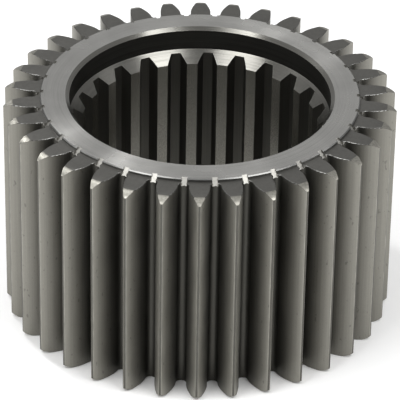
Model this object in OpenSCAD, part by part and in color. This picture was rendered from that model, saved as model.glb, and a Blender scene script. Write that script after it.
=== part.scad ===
// Straight-toothed sun gear with a splined bore, from a planetary wheel-hub reduction.
// One piece of hardened steel: ground involute teeth outside, involute splines inside.
// The gear stands on its plain end, with its axis along +Z and its origin at the
// centre of that end. The proud hub land and the counterbore are at the top.

/* [Gear teeth] */
// Number of teeth
gear_teeth = 34; // [31:1:40]
// Module: pitch diameter in mm for each tooth
gear_module = 3.25; // [3:0.05:3.6]
// Pressure angle in degrees
gear_pressure_angle = 20; // [18:0.5:22]
// Height of a tooth above the pitch circle
tooth_addendum = 4.75; // [4:0.05:5]
// Depth of a tooth space below the pitch circle
tooth_dedendum = 5.6; // [5:0.05:6.2]
// Amount that each tooth is thinned at the pitch circle, for backlash
tooth_thinning = 0.06; // [0:0.02:0.3]
// Depth of the broken edge along each side of a tooth's crest
crest_break = 0.2; // [0.05:0.05:0.4]
// Share of a tooth's thickness that its crest keeps between those edges
crest_share = 0.62; // [0.4:0.02:0.8]
// Radius of the rounded root of a tooth space
root_fillet = 1.5; // [0.8:0.1:2]
// Length of the teeth along the axis
face_width = 71.1; // [50:0.1:100]
// Direction in which the middle of the first tooth points, in degrees
tooth_direction = -90; // [-180:1:180]

/* [Tooth ends] */
// Depth of the rounded tip of a tooth at its ends, measured along the radius
tip_round_depth = 2.9; // [1:0.1:3.5]
// Length of that rounded tip, measured along the axis
tip_round_length = 1.4; // [0.8:0.1:3]
// Fullness of that rounded tip: near 1 is a straight cone, 2 a quarter of an ellipse
tip_round_fullness = 1.3; // [1.1:0.1:2]
// Size of the bevel that follows the flanks and roots at the tooth ends
edge_bevel = 0.15; // [0.1:0.05:0.5]
// Depth below the tooth ends of the notch that eases each root into the hub land
root_notch_depth = 0.9; // [0.2:0.05:1.2]
// Width of that notch
root_notch_width = 1.6; // [1:0.1:2.4]
// Slope of that notch from the axis
root_notch_angle = 47; // [40:1:60]

/* [Hub land] */
// Height of the hub land above the tooth ends
land_height = 0.9; // [0.5:0.1:3]
// Distance from the root circle in to the edge of the hub land
land_inset = 0.9; // [0.6:0.1:2]
// Size of the bevel on the outer edge of the hub land
land_bevel = 0.3; // [0.1:0.05:0.45]

/* [Splines] */
// Number of splines in the bore
spline_teeth = 24; // [20:1:25]
// Module of the splines
spline_module = 3; // [2.5:0.1:3.1]
// Pressure angle of the splines in degrees
spline_pressure_angle = 30; // [27:1:32]
// Distance from the pitch circle out to the root circle of the splines
spline_root_depth = 3; // [2.6:0.1:3.4]
// Height of the splines, from their root circle to their tips
spline_height = 2.65; // [2:0.05:3.2]
// Width of a spline space at the pitch circle
spline_space_width = 6.58; // [5.5:0.01:6.7]
// Turn of the splines from the position with a space on the +X axis, in degrees
spline_direction = -3.64; // [-7.5:0.01:7.5]
// Angle from the axis of the cone that leads into each end of the splines
lead_in_angle = 45; // [20:1:55]
// Distance left at the plain end between the wide end of that cone and the root circle
lead_in_margin = 0.1; // [0.05:0.05:0.5]

/* [Counterbore] */
// Depth of the counterbore's wall below the hub land
counterbore_depth = 7.5; // [5:0.05:20]
// Clearance from the root circle of the splines out to the counterbore wall
counterbore_clearance = 0.9; // [0.4:0.1:1.5]
// Depth of the mouth chamfer along the axis
mouth_chamfer_depth = 0.95; // [0.4:0.05:2]
// Width of the mouth chamfer along the radius
mouth_chamfer_width = 1.15; // [0.4:0.05:2]

/* [Hidden] */
$fn = 180;

// Cuts run past the faces that they leave by this much
over = 1;
// Straight pieces along one flank, one root fillet, one spline flank and one rounded tip
flank_steps = 8;
fillet_steps = 4;
spline_steps = 5;
tip_round_steps = 5;

// Circles of the outer teeth
pitch_r = gear_teeth * gear_module / 2;
base_r = pitch_r * cos(gear_pressure_angle);
tip_r = pitch_r + tooth_addendum;
root_r = pitch_r - tooth_dedendum;
pitch_angle = 360 / gear_teeth;

// Circles of the bore
spline_pitch_r = spline_teeth * spline_module / 2;
spline_base_r = spline_pitch_r * cos(spline_pressure_angle);
spline_root_r = spline_pitch_r + spline_root_depth;
spline_tip_r = spline_root_r - spline_height;
spline_angle = 360 / spline_teeth;
counterbore_r = spline_root_r + counterbore_clearance;

// Levels along the axis
land_top_z = face_width + land_height;
counterbore_floor_z = land_top_z - counterbore_depth;
land_r = root_r - land_inset;

function polar(r, angle) = [r * cos(angle), r * sin(angle)];

// Roll of an involute at radius r, and the involute function of that roll in degrees
function roll(r, base) = sqrt(max(0, pow(r / base, 2) - 1));
function involute(r, base) = roll(r, base) * 180 / PI - atan(roll(r, base));

// Half of the angle that an outer tooth takes at radius r
gear_pitch_half = (PI * gear_module / 2 - tooth_thinning) / 2 / pitch_r * 180 / PI;
function gear_half(r) = gear_pitch_half + involute(pitch_r, base_r) - involute(r, base_r);

// The root fillet, no larger than the tooth space holds
space_half_sin = sin(pitch_angle / 2 - gear_half(base_r));
fillet_r = min(root_fillet, 0.98 * root_r * space_half_sin / (1 - space_half_sin));
fillet_centre_r = root_r + fillet_r;
// Radius at which the fillet hands over to the involute
fillet_top_r = sqrt(pow(fillet_centre_r, 2) - pow(fillet_r, 2));
form_r = max(base_r, fillet_top_r);
fillet_lean = asin(fillet_r / fillet_centre_r);
fillet_centre_angle = gear_half(form_r) + fillet_lean;

// One side of a tooth from its root to its tip, as points beside the line of the tooth
fillet_side = [
    for (i = [0:fillet_steps])
        polar(fillet_centre_r, fillet_centre_angle)
        + polar(fillet_r, fillet_centre_angle - 180 + (90 - fillet_lean) * i / fillet_steps)
];
flank_top_r = tip_r - crest_break;
form_roll = roll(form_r, base_r);
roll_step = (roll(flank_top_r, base_r) - form_roll) / flank_steps;
first_flank = form_r > base_r ? 1 : 0;
flank_side = [
    for (i = [first_flank:flank_steps])
        let (r = base_r * sqrt(1 + pow(form_roll + roll_step * i, 2))) polar(r, gear_half(r))
];
crest_half = crest_share * flank_top_r * sin(gear_half(flank_top_r));
crest_corner = [sqrt(pow(tip_r, 2) - pow(crest_half, 2)), crest_half];
tooth_side = concat(fillet_side, flank_side, [crest_corner]);
side_count = len(tooth_side);

function mirrored(points) = [for (i = [len(points) - 1:-1:0]) [points[i].x, -points[i].y]];
function turned(points, angle) = [
    for (p = points)
        [p.x * cos(angle) - p.y * sin(angle), p.x * sin(angle) + p.y * cos(angle)]
];

// A tooth made of its near side and the mirror image, and the ring of all such teeth
near_side = [for (p = tooth_side) [p.x, -p.y]];
function tooth_of(side) = concat(side, mirrored(side));
function ring_of(side) = [
    for (k = [0:gear_teeth - 1])
        each turned(tooth_of(side), tooth_direction + k * pitch_angle)
];

// The near side moved into the tooth by d, each corner along the line that halves it
function unit(v) = v / norm(v);
function left_of(v) = [-v.y, v.x];
function moved_in(d) =
    let (
        tooth = tooth_of(near_side),
        chain = concat([turned(tooth, -pitch_angle)[2 * side_count - 1]], tooth)
    )
    [
        for (i = [1:side_count])
            let (
                before = left_of(unit(chain[i] - chain[i - 1])),
                after = left_of(unit(chain[i + 1] - chain[i])),
                p = chain[i] + d * (before + after) / (1 + before * after)
            )
            [p.x, min(p.y, -crest_half / 8)]
    ];

// Outer teeth on a solid blank, with the edges of both ends bevelled
module toothed_blank() {
    full = ring_of(near_side);
    small = ring_of(moved_in(edge_bevel));
    rings = [
        [for (p = small) [p.x, p.y, 0]],
        [for (p = full) [p.x, p.y, edge_bevel]],
        [for (p = full) [p.x, p.y, face_width - edge_bevel]],
        [for (p = small) [p.x, p.y, face_width]]
    ];
    n = len(full);
    m = 2 * side_count;
    top = (len(rings) - 1) * n;
    sides = [
        for (ring = [0:len(rings) - 2], i = [0:n - 1])
            let (a = ring * n + i, b = ring * n + (i + 1) % n) [a, a + n, b + n, b]
    ];
    // The end of a tooth is a ladder of four-sided faces, the disc inside the roots one face
    tooth_ends = [
        for (k = [0:gear_teeth - 1], j = [0:side_count - 2])
            let (a = k * m + j, b = k * m + m - 1 - j) [a, a + 1, b - 1, b]
    ];
    disc = [for (k = [0:gear_teeth - 1]) each [k * m, k * m + m - 1]];
    polyhedron(
        points = [for (ring = rings) each ring],
        faces = concat(
            sides,
            tooth_ends,
            [for (f = tooth_ends) [for (i = [3:-1:0]) top + f[i]]],
            [disc],
            [[for (i = [len(disc) - 1:-1:0]) top + disc[i]]]
        )
    );
}

// Ring outside the rounded tips, for the upper end of the teeth
module tip_round_cut() {
    curve = [
        for (i = [0:tip_round_steps])
            let (a = 90 * i / tip_round_steps, power = 2 / tip_round_fullness)
            [
                tip_r - tip_round_depth * (1 - pow(cos(a), power)),
                face_width - tip_round_length * (1 - pow(sin(a), power))
            ]
    ];
    // Both ends of the curve go on in a straight line, out of the tooth
    start = curve[0] - curve[1];
    end = curve[tip_round_steps] - curve[tip_round_steps - 1];
    rotate_extrude()
        polygon(concat(
            [curve[0] + start * over / 20 / start.x],
            [for (i = [1:tip_round_steps - 1]) curve[i]],
            [
                curve[tip_round_steps] + end * over / 20 / end.y,
                [curve[tip_round_steps].x, face_width + over],
                [tip_r + over, face_width + over],
                [tip_r + over, curve[0].y]
            ]
        ));
}

// Sloping flat notch in the root of every tooth space, which runs up into the hub land
module root_notches() {
    rise = land_height + root_notch_depth;
    length = rise / cos(root_notch_angle) + 2 * over;
    for (k = [0:gear_teeth - 1])
        rotate(tooth_direction + (k + 0.5) * pitch_angle)
            translate([root_r, -root_notch_width / 2, face_width - root_notch_depth])
                rotate([0, -root_notch_angle, 0])
                    translate([0, 0, -over])
                        cube([rise, root_notch_width, length]);
}

// Flat round land that stands proud of the tooth ends
module hub_land() {
    rotate_extrude()
        polygon([
            [0, face_width / 2],
            [land_r, face_width / 2],
            [land_r, land_top_z - land_bevel],
            [land_r - land_bevel, land_top_z],
            [0, land_top_z]
        ]);
}

// Half of the angle that a spline space takes at radius r
spline_pitch_half = spline_space_width / 2 / spline_pitch_r * 180 / PI;
function space_half(r) =
    spline_pitch_half + involute(spline_pitch_r, spline_base_r) - involute(r, spline_base_r);

// Section of the splined bore: the circle of the tips, and a space for every spline
module spline_section() {
    // The flanks go on a little past the tips and the roots
    flank_low_r = spline_tip_r - over / 20;
    flank_high_r = spline_root_r + over / 4;
    flank_step = (flank_high_r - flank_low_r) / spline_steps;
    side = [
        polar(spline_tip_r - over, space_half(flank_low_r)),
        for (i = [0:spline_steps])
            let (r = flank_low_r + flank_step * i)
            polar(r, space_half(r))
    ];
    intersection() {
        circle(r = spline_root_r);
        union() {
            circle(r = spline_tip_r);
            for (k = [0:spline_teeth - 1])
                rotate(spline_direction + k * spline_angle)
                    polygon(tooth_of([for (p = side) [p.x, -p.y]]));
        }
    }
}

// Cone that opens the lower end of the splines
module lower_lead_in() {
    flare = tan(lead_in_angle);
    wide_r = spline_root_r - lead_in_margin;
    length = (wide_r - spline_tip_r) / flare;
    translate([0, 0, -over])
        cylinder(
            h = length + 2 * over,
            r1 = wide_r + over * flare,
            r2 = spline_tip_r - over * flare
        );
}

// Counterbore with a chamfered mouth; its floor is the cone that leads into the splines
module counterbore() {
    flare = tan(lead_in_angle);
    cone_end_z = counterbore_floor_z - (counterbore_r - spline_tip_r) / flare;
    rotate_extrude()
        polygon([
            [0, cone_end_z - over],
            [spline_tip_r - over * flare, cone_end_z - over],
            [counterbore_r, counterbore_floor_z],
            [counterbore_r, land_top_z - mouth_chamfer_depth],
            [counterbore_r + mouth_chamfer_width * (1 + over / mouth_chamfer_depth), land_top_z + over],
            [0, land_top_z + over]
        ]);
}

// Everything that is cut away to make the bore
module bore() {
    translate([0, 0, -over])
        linear_extrude(counterbore_floor_z + 2 * over)
            spline_section();
    lower_lead_in();
    counterbore();
}

module sun_gear() {
    color([0.55, 0.55, 0.54])
        difference() {
            union() {
                toothed_blank();
                hub_land();
            }
            tip_round_cut();
            translate([0, 0, face_width])
                mirror([0, 0, 1])
                    tip_round_cut();
            root_notches();
            bore();
        }
}

sun_gear();
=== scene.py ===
"""Looks of the sun gear: one steel piece on a pale floor, in metres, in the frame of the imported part."""

import math

import bmesh
import bpy
from mathutils import Matrix, Vector

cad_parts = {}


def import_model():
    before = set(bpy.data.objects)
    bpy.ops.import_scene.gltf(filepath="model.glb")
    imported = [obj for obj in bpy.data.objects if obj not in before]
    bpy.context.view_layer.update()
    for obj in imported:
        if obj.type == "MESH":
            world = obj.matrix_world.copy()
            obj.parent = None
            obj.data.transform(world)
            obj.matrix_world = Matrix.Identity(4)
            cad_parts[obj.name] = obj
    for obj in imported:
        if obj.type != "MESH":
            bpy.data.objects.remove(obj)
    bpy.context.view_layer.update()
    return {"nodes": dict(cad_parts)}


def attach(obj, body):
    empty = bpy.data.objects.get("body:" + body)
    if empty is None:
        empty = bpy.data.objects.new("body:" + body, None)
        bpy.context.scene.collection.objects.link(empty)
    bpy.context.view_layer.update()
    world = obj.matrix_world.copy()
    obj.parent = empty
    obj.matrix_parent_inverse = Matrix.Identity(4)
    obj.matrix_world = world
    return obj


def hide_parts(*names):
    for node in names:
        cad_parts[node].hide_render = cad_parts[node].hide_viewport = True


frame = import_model()

# Sizes of the gear in metres, as in the part
TOP_Z = 0.072
END_Z = 0.0711
SPLINE_TIP_R = 0.03635
COUNTERBORE_R = 0.0399
MOUTH_R = 0.04105
LAND_R = 0.04875
LAND_BEVEL = 0.0003
ROOT_R = 0.04965
TIP_R = 0.060
CREST_BREAK = 0.0002
TIP_ROUND_DEPTH = 0.0029
NOTCH_DEPTH = 0.0009
NOTCH_ANGLE = math.radians(47)

# Distances in metres within which points are one point, or lie on the same circle or level
MERGE = 1e-6
NEAR = 0.00005
# Reach of a notch's side walls past the root circle and below the notch
NOTCH_WALL_OUT = 0.0005
NOTCH_WALL_DOWN = 0.0003
# Lean of a face: the height of its unit normal, 1 when it faces straight up, 0 when it is upright
FLAT = 0.99
UPRIGHT = 0.05
LEAN_MATCH = 0.01
# Faces that meet at a larger angle than this keep a sharp edge
SHARP_ANGLE = math.radians(28)

# Camera fitted to the outline of the gear in the photograph
LENS_MM = 292.7
SENSOR_MM = 36.0
CAM_DISTANCE = 1.01276
CAM_TARGET = Vector((0.0, 0.0, 0.030))
CAM_ELEVATION = math.radians(32.8645)
CAM_ROLL = math.radians(0.9352)
CAM_SIDE = -0.0005199
CAM_RISE = -0.0027859
CAM_TURN = math.radians(-0.3469)

# Studio: the world's strength, the floor's half side, and the lamps round the gear
WORLD_STRENGTH = 0.5
FLOOR_HALF_SIDE = 3.0
LAMP_DISTANCE = 0.8
LAMP_TARGET = Vector((0.0, 0.0, 0.04))
# Azimuth and elevation in degrees, width and height in metres, radiance
LAMPS = {
    "soft_left": (222, 57, 0.35, 0.35, 6.6),
    "soft_right": (-42, 57, 0.35, 0.35, 6.6),
    "streak_low": (134, 41.5, 0.07, 0.08, 60.0),
    "streak_high": (133, 64, 0.07, 0.08, 44.0),
    "above": (92, 79, 0.3, 0.3, 0.5),
    "side_left": (185, 20, 0.4, 0.4, 3.6),
    "side_right": (-5, 20, 0.4, 0.4, 3.6),
}


# Node helpers
class Nodes:
    """Short hand for building a material's node tree."""

    def __init__(self, name):
        self.material = bpy.data.materials.new(name)
        self.material.use_nodes = True
        self.tree = self.material.node_tree
        self.tree.nodes.clear()
        self.out = self.tree.nodes.new("ShaderNodeOutputMaterial")

    def add(self, kind, inputs=None, **settings):
        node = self.tree.nodes.new("ShaderNode" + kind)
        for key, value in settings.items():
            setattr(node, key, value)
        for key, value in (inputs or {}).items():
            self.put(node.inputs[key], value)
        return node

    def put(self, socket, value):
        if isinstance(value, bpy.types.NodeSocket):
            self.tree.links.new(value, socket)
        else:
            socket.default_value = value

    def math(self, operation, a, b=0.0, c=0.0):
        return self.add("Math", {0: a, 1: b, 2: c}, operation=operation).outputs[0]

    def ramp(self, value, low, high, to_low=0.0, to_high=1.0):
        inputs = {"Value": value, "From Min": low, "From Max": high, "To Min": to_low, "To Max": to_high}
        return self.add("MapRange", inputs).outputs["Result"]

    def mix(self, factor, a, b):
        node = self.add("Mix", data_type="RGBA")
        self.put(node.inputs[0], factor)
        self.put(node.inputs[6], a)
        self.put(node.inputs[7], b)
        return node.outputs[2]

    def place(self):
        return self.add("TexCoord").outputs["Object"]

    def scaled(self, x, y, z):
        """Object coordinates in millimetres, stretched by x, y and z."""
        scale = (x * 1000, y * 1000, z * 1000)
        return self.add("Mapping", {"Vector": self.place(), "Scale": scale}).outputs["Vector"]

    def radius(self):
        """Distance from the gear's axis in millimetres."""
        x, y, _ = self.add("SeparateXYZ", {"Vector": self.place()}).outputs
        squares = self.math("ADD", self.math("MULTIPLY", x, x), self.math("MULTIPLY", y, y))
        return self.math("MULTIPLY", self.math("SQRT", squares), 1000)

    def turned(self, radial, around, axial):
        """Coordinates for marks left by turning: radius and height in millimetres, and the angle."""
        x, y, z = self.add("SeparateXYZ", {"Vector": self.place()}).outputs
        radius = self.radius()
        cosine = self.math("DIVIDE", x, self.math("MULTIPLY", radius, 0.001))
        return self.add(
            "CombineXYZ",
            {
                "X": self.math("MULTIPLY", radius, radial),
                "Y": self.math("MULTIPLY", self.math("ARCTAN2", y, x), around),
                "Z": self.math("MULTIPLY_ADD", z, 1000 * axial, self.math("MULTIPLY", cosine, around)),
            },
        ).outputs[0]

    def noise(self, vector, scale=1.0, detail=2.0, roughness=0.5):
        inputs = {"Vector": vector, "Scale": scale, "Detail": detail, "Roughness": roughness}
        return self.add("TexNoise", inputs).outputs["Fac"]

    def bump(self, height, strength, distance):
        return self.add("Bump", {"Height": height, "Strength": strength, "Distance": distance}).outputs[0]

    def metal(self, colour, roughness, normal=None, marks=0.0):
        """Bare metal; with marks, fine lines round the axis spread its highlights across them."""
        inputs = {"Base Color": colour, "Metallic": 1.0, "Roughness": roughness}
        if normal is not None:
            inputs["Normal"] = normal
        if marks:
            inputs["Anisotropic"] = marks
            inputs["Anisotropic Rotation"] = 0.25
            inputs["Tangent"] = self.add("Tangent", direction_type="RADIAL", axis="Z").outputs[0]
        return self.finish(self.add("BsdfPrincipled", inputs).outputs[0])

    def finish(self, shader):
        self.tree.links.new(shader, self.out.inputs["Surface"])
        return self.material


def steel(value, red=1.03, blue=0.89):
    """A steel grey of one lightness, with a slight warm tint."""
    return (value * red, value, value * blue, 1.0)


# Materials, one for each finish of the one piece
def flank_steel():
    """Tooth flanks and roots: ground along the axis, painted light towards the crests, painted shade in
    the gaps.
    """
    n = Nodes("flank_steel")
    radius = n.radius()
    lines = n.noise(n.scaled(2.4, 2.4, 0.02), 1.0, 3.0, 0.6)
    cloud = n.noise(n.scaled(0.16, 0.16, 0.06), 1.0, 3.0, 0.55)
    grain = n.noise(n.scaled(3.0, 3.0, 1.6), 1.0, 2.0, 0.6)
    spots = n.ramp(n.noise(n.scaled(0.9, 0.9, 0.45), 1.0, 1.0, 0.5), 0.70, 0.76)
    marks = n.math("ADD", n.ramp(lines, 0.3, 0.7, 0.0, 0.45), n.ramp(cloud, 0.3, 0.7, 0.0, 0.35))
    marks = n.math("ADD", marks, n.ramp(grain, 0.3, 0.7, 0.0, 0.2))
    # Painted shade deep in the gaps and painted light near the crests, blended by the radius
    painted_gap_shade = n.mix(marks, steel(0.06), steel(0.095))
    crest = n.mix(marks, steel(0.24), steel(0.32))
    colour = n.mix(n.ramp(radius, 50.6, 59.2), painted_gap_shade, crest)
    # A little lighter again at the root floor: a painted reflection
    colour = n.mix(n.ramp(radius, 50.6, 50.0), colour, n.mix(marks, steel(0.07), steel(0.10)))
    colour = n.mix(n.math("MULTIPLY", spots, 0.35), colour, steel(0.06))
    return n.metal(colour, n.ramp(cloud, 0.3, 0.7, 0.5, 0.58), n.bump(lines, 0.15, 0.00003))


def crest_steel():
    """Crests of the teeth: the turned outside, duller than the flanks."""
    n = Nodes("crest_steel")
    lines = n.noise(n.scaled(1.2, 1.2, 0.5), 1.0, 3.0, 0.6)
    return n.metal(n.mix(lines, steel(0.08), steel(0.13)), 0.5)


def bevel_steel():
    """Fine bevels round the tooth ends: barely lighter than the ends."""
    n = Nodes("bevel_steel")
    wear = n.noise(n.scaled(0.3, 0.3, 0.3), 1.0, 2.0, 0.6)
    return n.metal(n.mix(n.ramp(wear, 0.35, 0.65), steel(0.025), steel(0.05)), 0.5)


def edge_steel():
    """Broken edges along the crests."""
    n = Nodes("edge_steel")
    wear = n.noise(n.scaled(0.5, 0.5, 0.2), 1.0, 3.0, 0.6)
    return n.metal(n.mix(n.ramp(wear, 0.3, 0.7), steel(0.22), steel(0.34)), 0.42)


def end_steel():
    """Tooth ends and underside: darker hardened face with a fine mottle."""
    n = Nodes("end_steel")
    mottle = n.noise(n.scaled(0.9, 0.9, 0.9), 1.0, 4.0, 0.65)
    stain = n.noise(n.scaled(0.12, 0.12, 0.12), 1.0, 2.0, 0.5)
    tone = n.math("ADD", n.ramp(mottle, 0.3, 0.7, 0.0, 0.6), n.ramp(stain, 0.3, 0.7, 0.0, 0.4))
    colour = n.mix(tone, steel(0.12, 1.02, 0.93), steel(0.17, 1.02, 0.93))
    return n.metal(colour, 0.45, n.bump(mottle, 0.12, 0.00003))


def chamfer_steel():
    """Chamfers at the tooth tips: cut bright, a little uneven."""
    n = Nodes("chamfer_steel")
    cuts = n.noise(n.scaled(1.5, 1.5, 1.5), 1.0, 3.0, 0.6)
    colour = n.mix(n.ramp(cuts, 0.3, 0.7), steel(0.23), steel(0.36))
    return n.metal(colour, 0.4, n.bump(cuts, 0.15, 0.00004))


def notch_steel():
    """Notches in the roots: freshly cut, brightest of all."""
    n = Nodes("notch_steel")
    cuts = n.noise(n.scaled(1.0, 1.0, 1.0), 1.0, 2.0, 0.6)
    return n.metal(n.mix(cuts, steel(0.22, 1.02, 0.93), steel(0.36, 1.02, 0.93)), 0.4)


def rim_steel():
    """Rim of the hub land: bright only where it faces a light."""
    n = Nodes("rim_steel")
    cuts = n.noise(n.scaled(0.6, 0.6, 0.6), 1.0, 2.0, 0.6)
    return n.metal(n.mix(cuts, steel(0.13, 1.0, 0.97), steel(0.22, 1.0, 0.97)), 0.28)


def land_steel():
    """Hub land: fine ground ring, its marks run round the axis and streak the light."""
    n = Nodes("land_steel")
    rings = n.noise(n.turned(3.5, 0.5, 0.0), 1.0, 3.0, 0.7)
    cloud = n.noise(n.scaled(0.12, 0.12, 0.12), 1.0, 2.0, 0.5)
    tone = n.math("ADD", n.ramp(rings, 0.3, 0.7, 0.0, 0.6), n.ramp(cloud, 0.3, 0.7, 0.0, 0.4))
    colour = n.mix(tone, steel(0.42, 1.01, 0.96), steel(0.56, 1.01, 0.96))
    return n.metal(colour, n.ramp(cloud, 0.3, 0.7, 0.24, 0.28), n.bump(rings, 0.1, 0.00002), marks=0.94)


def turned_steel(name, dark, light, roughness, spread):
    """A turned surface of the bore with fine tool marks round the axis."""
    n = Nodes(name)
    marks = n.noise(n.turned(4.0, 0.8, 4.0), 1.0, 3.0, 0.65)
    colour = n.mix(n.ramp(marks, 0.3, 0.7), steel(dark, 1.02, 0.92), steel(light, 1.02, 0.92))
    return n.metal(colour, roughness, n.bump(marks, 0.1, 0.00003), marks=spread)


def spline_steel():
    """Broached flanks and spaces of the splines: dark, with lines along the axis."""
    n = Nodes("spline_steel")
    lines = n.noise(n.scaled(3.0, 3.0, 0.03), 1.0, 3.0, 0.6)
    return n.metal(n.mix(lines, steel(0.08), steel(0.13)), 0.42, n.bump(lines, 0.2, 0.00003))


def spline_tip_steel():
    """Inner faces of the splines: machined grey with a fine speckle."""
    n = Nodes("spline_tip_steel")
    speckle = n.noise(n.scaled(3.0, 3.0, 2.0), 1.0, 2.0, 0.7)
    return n.metal(n.mix(n.ramp(speckle, 0.3, 0.7), steel(0.24), steel(0.40)), 0.26, marks=0.9)


def floor_material():
    n = Nodes("pale_floor")
    shader = n.add("BsdfPrincipled", {"Base Color": (0.95, 0.95, 0.95, 1), "Roughness": 0.9})
    shader.inputs["Specular IOR Level"].default_value = 0.0
    return n.finish(shader.outputs[0])


FINISHES = {
    "flank": flank_steel,
    "crest": crest_steel,
    "edge": edge_steel,
    "bevel": bevel_steel,
    "end": end_steel,
    "chamfer": chamfer_steel,
    "notch": notch_steel,
    "rim": rim_steel,
    "land": land_steel,
    "mouth": lambda: turned_steel("mouth_steel", 0.15, 0.22, 0.19, 0.3),
    "lead_in": lambda: turned_steel("lead_in_steel", 0.11, 0.19, 0.25, 0.5),
    "counterbore": lambda: turned_steel("counterbore_steel", 0.05, 0.085, 0.38, 0.3),
    "spline": spline_steel,
    "spline_tip": spline_tip_steel,
}
FINISH_INDEX = {name: index for index, name in enumerate(FINISHES)}


# The gear
def bore_finish(low, high, up):
    """Finish of a face inside the bore, from its radii and upward lean."""
    if abs(up) > UPRIGHT:
        return "mouth" if low > COUNTERBORE_R - NEAR else "lead_in"
    if low > COUNTERBORE_R - NEAR:
        return "counterbore"
    return "spline_tip" if high < SPLINE_TIP_R + NEAR else "spline"


def outer_finish(low, high, middle, up):
    """Finish of a face of the teeth or the land's rim, from its radii, middle height and upward lean."""
    if low > TIP_R - TIP_ROUND_DEPTH - NEAR and abs(up) > UPRIGHT:
        return "chamfer"
    if middle > END_Z - NEAR and low > LAND_R - LAND_BEVEL - NEAR:
        return "rim"
    beside_notch = high < ROOT_R + NOTCH_WALL_OUT and middle > END_Z - NOTCH_DEPTH - NOTCH_WALL_DOWN
    if beside_notch and abs(up) < UPRIGHT:
        return "notch"
    if abs(up - math.sin(NOTCH_ANGLE)) < LEAN_MATCH:
        return "notch"
    if abs(up) > UPRIGHT:
        return "bevel"
    if low > TIP_R - NEAR:
        return "crest"
    return "edge" if low > TIP_R - CREST_BREAK - NEAR else "flank"


def finish_of(face):
    radii = [math.hypot(v.co.x, v.co.y) for v in face.verts]
    middle, up = face.calc_center_median().z, face.normal.z
    if up > FLAT and middle > TOP_Z - NEAR:
        return "land"
    if abs(up) > FLAT and (middle > END_Z - NEAR or middle < NEAR):
        return "end"
    if max(radii) < MOUTH_R + NEAR:
        return bore_finish(min(radii), max(radii), up)
    return outer_finish(min(radii), max(radii), middle, up)


def dressed_gear():
    """The part's own mesh with a finish on each face."""
    mesh = bpy.data.meshes.new("gear_dressed")
    bm = bmesh.new()
    bm.from_mesh(frame["nodes"]["sun_gear"].data)
    bmesh.ops.remove_doubles(bm, verts=bm.verts, dist=MERGE)
    bm.normal_update()
    for face in bm.faces:
        face.material_index = FINISH_INDEX[finish_of(face)]
        face.smooth = True
    for edge in bm.edges:
        if len(edge.link_faces) == 2:
            edge.smooth = edge.calc_face_angle(0.0) < SHARP_ANGLE
    bm.to_mesh(mesh)
    bm.free()
    gear = bpy.data.objects.new("gear_dressed", mesh)
    bpy.context.scene.collection.objects.link(gear)
    for make in FINISHES.values():
        mesh.materials.append(make())
    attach(gear, "root")
    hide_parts("sun_gear")


# Floor, lights and camera
def floor():
    side = FLOOR_HALF_SIDE
    corners = [(-side, -side, 0), (side, -side, 0), (side, side, 0), (-side, side, 0)]
    mesh = bpy.data.meshes.new("floor")
    mesh.from_pydata(corners, [], [(0, 1, 2, 3)])
    mesh.materials.append(floor_material())
    obj = bpy.data.objects.new("floor", mesh)
    bpy.context.scene.collection.objects.link(obj)


def lamp(name, azimuth, elevation, width, height, radiance):
    """A softbox in a direction from the gear, facing it."""
    data = bpy.data.lights.new(name, "AREA")
    data.shape = "RECTANGLE"
    data.size = width
    data.size_y = height
    data.energy = radiance * math.pi * width * height
    a, e = math.radians(azimuth), math.radians(elevation)
    away = Vector((math.cos(a) * math.cos(e), math.sin(a) * math.cos(e), math.sin(e)))
    obj = bpy.data.objects.new(name, data)
    obj.location = LAMP_TARGET + away * LAMP_DISTANCE
    obj.rotation_euler = away.to_track_quat("Z", "Y").to_euler()
    bpy.context.scene.collection.objects.link(obj)


def world(strength):
    w = bpy.data.worlds.new("studio")
    w.use_nodes = True
    background = w.node_tree.nodes["Background"]
    background.inputs["Color"].default_value = (1, 1, 1, 1)
    background.inputs["Strength"].default_value = strength
    bpy.context.scene.world = w


def camera():
    data = bpy.data.cameras.new("camera")
    data.sensor_width = SENSOR_MM
    data.sensor_fit = "HORIZONTAL"
    data.lens = LENS_MM
    data.clip_start = 0.01
    data.clip_end = 20
    forward = Vector((0, math.cos(CAM_ELEVATION), -math.sin(CAM_ELEVATION)))
    right = Vector((1, 0, 0))
    up = right.cross(forward)
    right_r = math.cos(CAM_ROLL) * right + math.sin(CAM_ROLL) * up
    up_r = -math.sin(CAM_ROLL) * right + math.cos(CAM_ROLL) * up
    place = CAM_TARGET - CAM_DISTANCE * forward - CAM_SIDE * right_r - CAM_RISE * up_r
    axes = Matrix((right_r, up_r, -forward)).transposed().to_4x4()
    obj = bpy.data.objects.new("camera", data)
    obj.matrix_world = Matrix.Rotation(CAM_TURN, 4, "Z") @ Matrix.Translation(place) @ axes
    bpy.context.scene.collection.objects.link(obj)
    bpy.context.scene.camera = obj


dressed_gear()
floor()
world(WORLD_STRENGTH)
for name, setting in LAMPS.items():
    lamp(name, *setting)
camera()
bpy.context.scene.view_settings.view_transform = "Standard"
